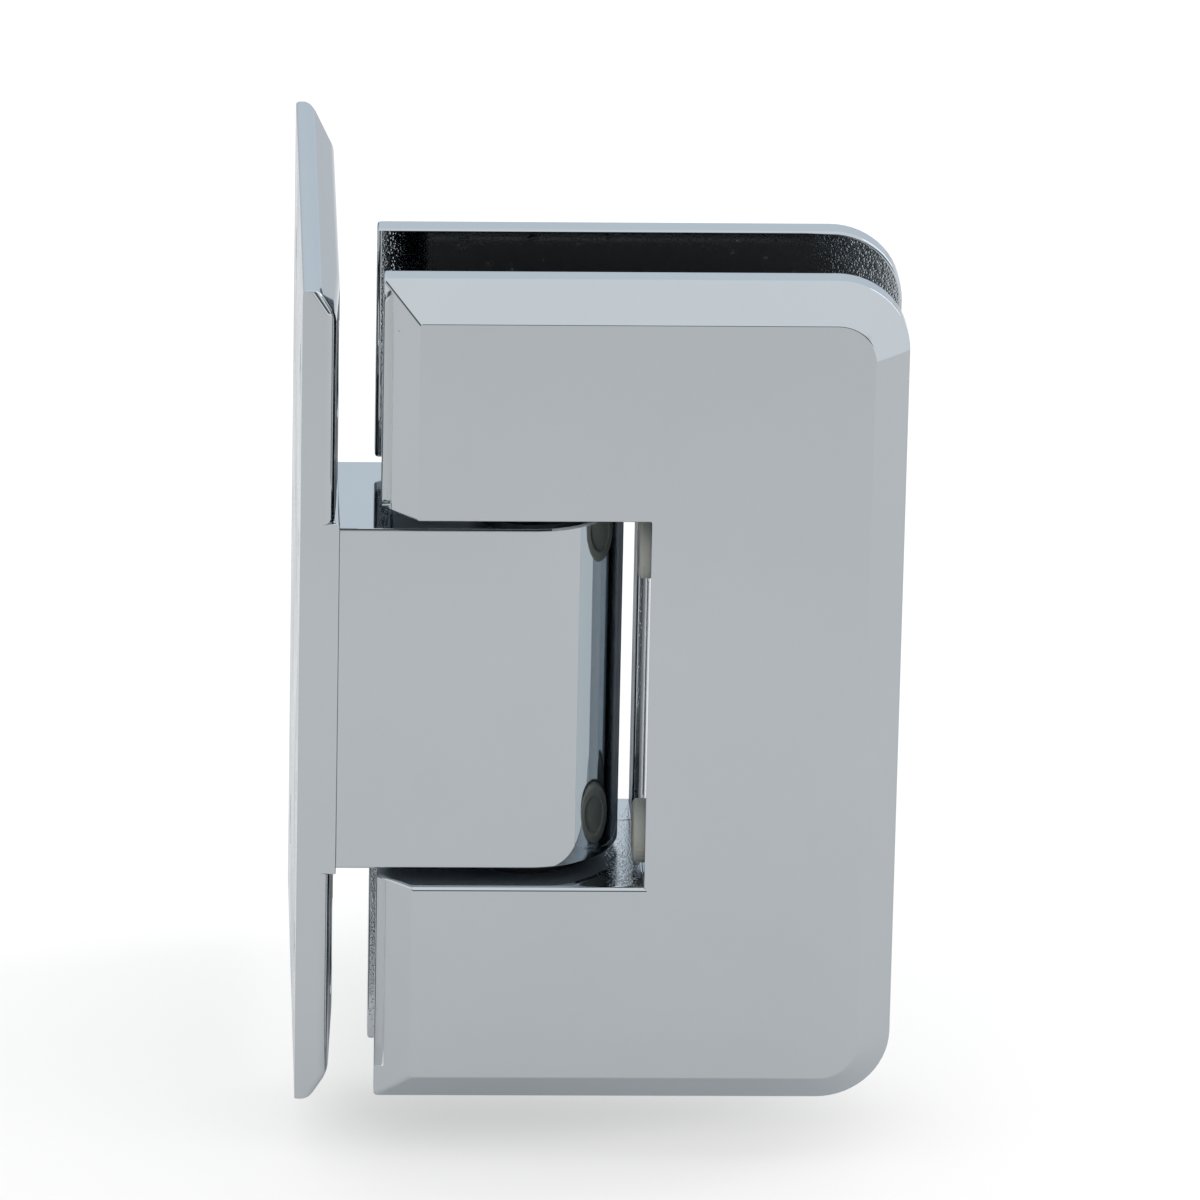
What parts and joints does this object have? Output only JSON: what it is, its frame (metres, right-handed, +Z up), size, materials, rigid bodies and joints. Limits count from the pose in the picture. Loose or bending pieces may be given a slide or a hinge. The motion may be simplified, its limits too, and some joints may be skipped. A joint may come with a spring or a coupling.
{
  "type": "glass shower door hinge",
  "caption": "Wall-mounted pivot hinge for a frameless glass door: offset wall plate, rounded pivot block and a bevelled clamp that grips the glass and swings both ways.",
  "frame": {"origin": "on the wall plate's wall face, in line with the glass and level with the middle of the pivot block", "axes": "+X out from the wall towards the glass, +Y towards the long side of the offset wall plate, +Z up along the pivot pin"},
  "size_m": [0.0614, 0.0597, 0.09],
  "materials": {
    "chrome": "polished chrome plate on brass",
    "chrome_screw": "polished chrome plate on brass screws",
    "steel": "ground stainless steel",
    "brass": "turned brass",
    "nylon": "black nylon",
    "buffer": "taupe matte moulded plastic",
    "gasket": "black fibre-filled rubber sheet"
  },
  "bodies": {
    "wall_side": {"wall_plate": "chrome", "pivot_block": "chrome", "block_screws": "steel", "upper_bush": "nylon", "lower_bush": "nylon", "upper_detent_plunger": "brass", "lower_detent_plunger": "brass", "upper_detent_spring": "steel", "lower_detent_spring": "steel", "upper_spring_plug": "steel", "lower_spring_plug": "steel"},
    "door_side": {"pivot_pin": "steel", "front_clamp": "chrome", "rear_clamp": "chrome", "front_gasket": "gasket", "rear_gasket": "gasket", "clamp_screws": "chrome_screw", "pin_set_screws": "steel", "upper_thrust_washer": "nylon", "lower_thrust_washer": "nylon", "upper_buffer": "buffer", "lower_buffer": "buffer"}
  },
  "joints": [
    {"name": "door_swing", "type": "hinge", "parent": "wall_side", "child": "door_side", "pos_m": [0.0237, 0, 0], "axis": [0, 0, 1], "range_deg": [-90, 90]}
  ]
}
